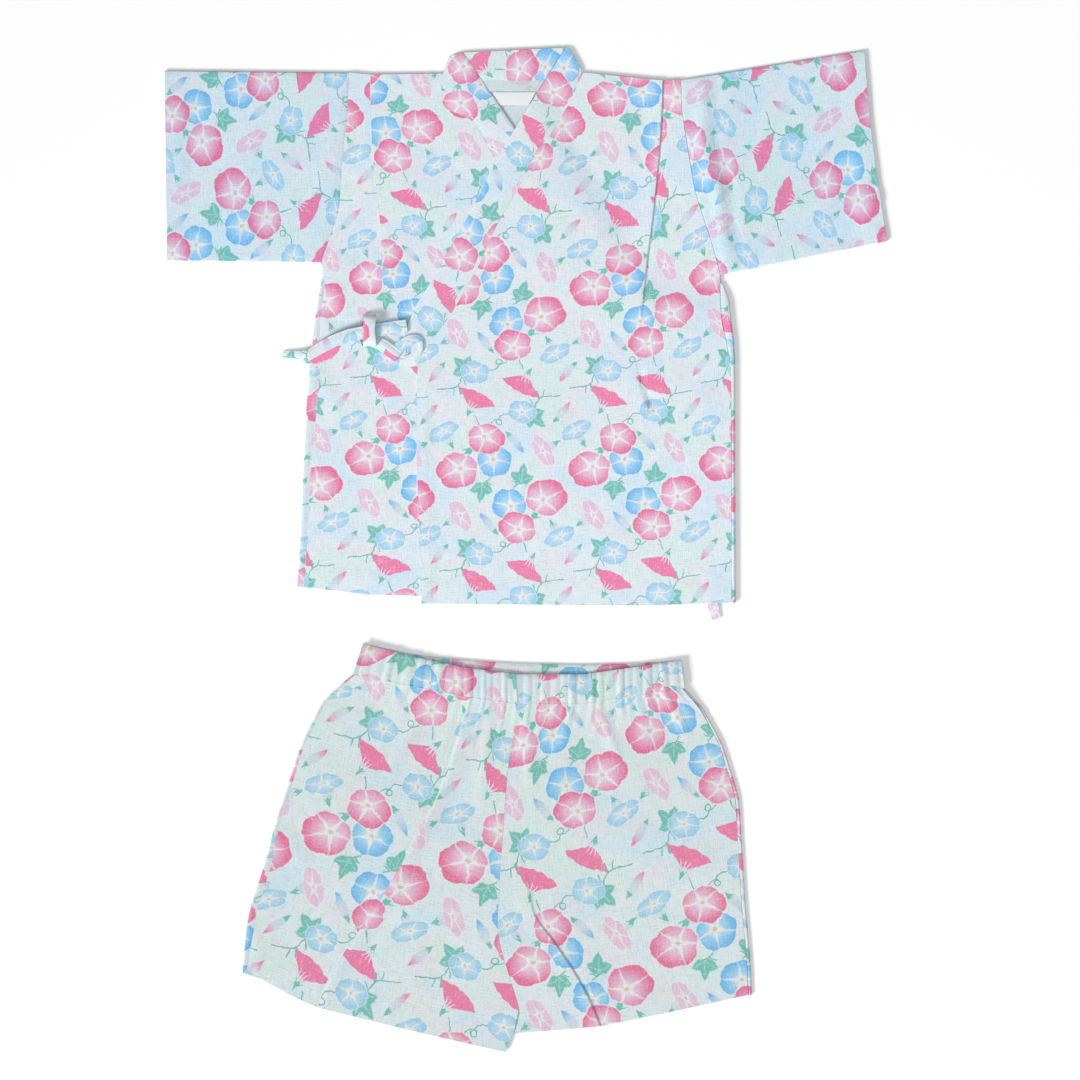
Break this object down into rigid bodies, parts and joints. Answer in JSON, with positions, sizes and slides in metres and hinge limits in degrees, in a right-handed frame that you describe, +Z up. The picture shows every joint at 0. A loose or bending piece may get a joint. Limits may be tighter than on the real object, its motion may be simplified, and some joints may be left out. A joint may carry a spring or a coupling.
{
  "type": "jinbei set",
  "caption": "Child's jinbei laid flat: short-sleeved wrap jacket tied at the side, with elastic-waist shorts below, in thin printed cotton.",
  "frame": {"origin": "the middle of the whole set as it lies, on the surface that it lies on", "axes": "+X towards the wearer's left side (the viewer's right), +Y towards the neck, +Z up from the surface"},
  "size_m": [0.6064, 0.8428, 0.0082],
  "materials": {
    "printed_cotton": "thin slubby plain-weave cotton, pale mint with a pink and blue morning-glory print, matt",
    "gathered_casing": "the same printed cotton, gathered on elastic",
    "tie_cotton": "the same cotton folded and stitched into flat ties",
    "label_tape": "plain white woven tape, blank"
  },
  "bodies": {
    "root": {"jacket_back": "printed_cotton", "front_under": "printed_cotton", "front_over": "printed_cotton", "sleeve_left": "printed_cotton", "sleeve_right": "printed_cotton", "collar_under_arm": "printed_cotton", "collar_back": "printed_cotton", "collar_over_arm": "printed_cotton", "shorts_front_left": "printed_cotton", "shorts_front_right": "printed_cotton", "shorts_back_left": "printed_cotton", "shorts_back_right": "printed_cotton", "waist_casing_front": "gathered_casing", "waist_casing_back": "gathered_casing", "bow_knot": "tie_cotton", "bow_loop_left": "tie_cotton", "bow_lead_right": "tie_cotton", "bow_loop_right_lower": "tie_cotton", "bow_loop_right_upper": "tie_cotton", "bow_tail": "tie_cotton", "inner_tie_side": "tie_cotton", "inner_tie_front": "tie_cotton", "neck_label": "label_tape"}
  },
  "joints": []
}
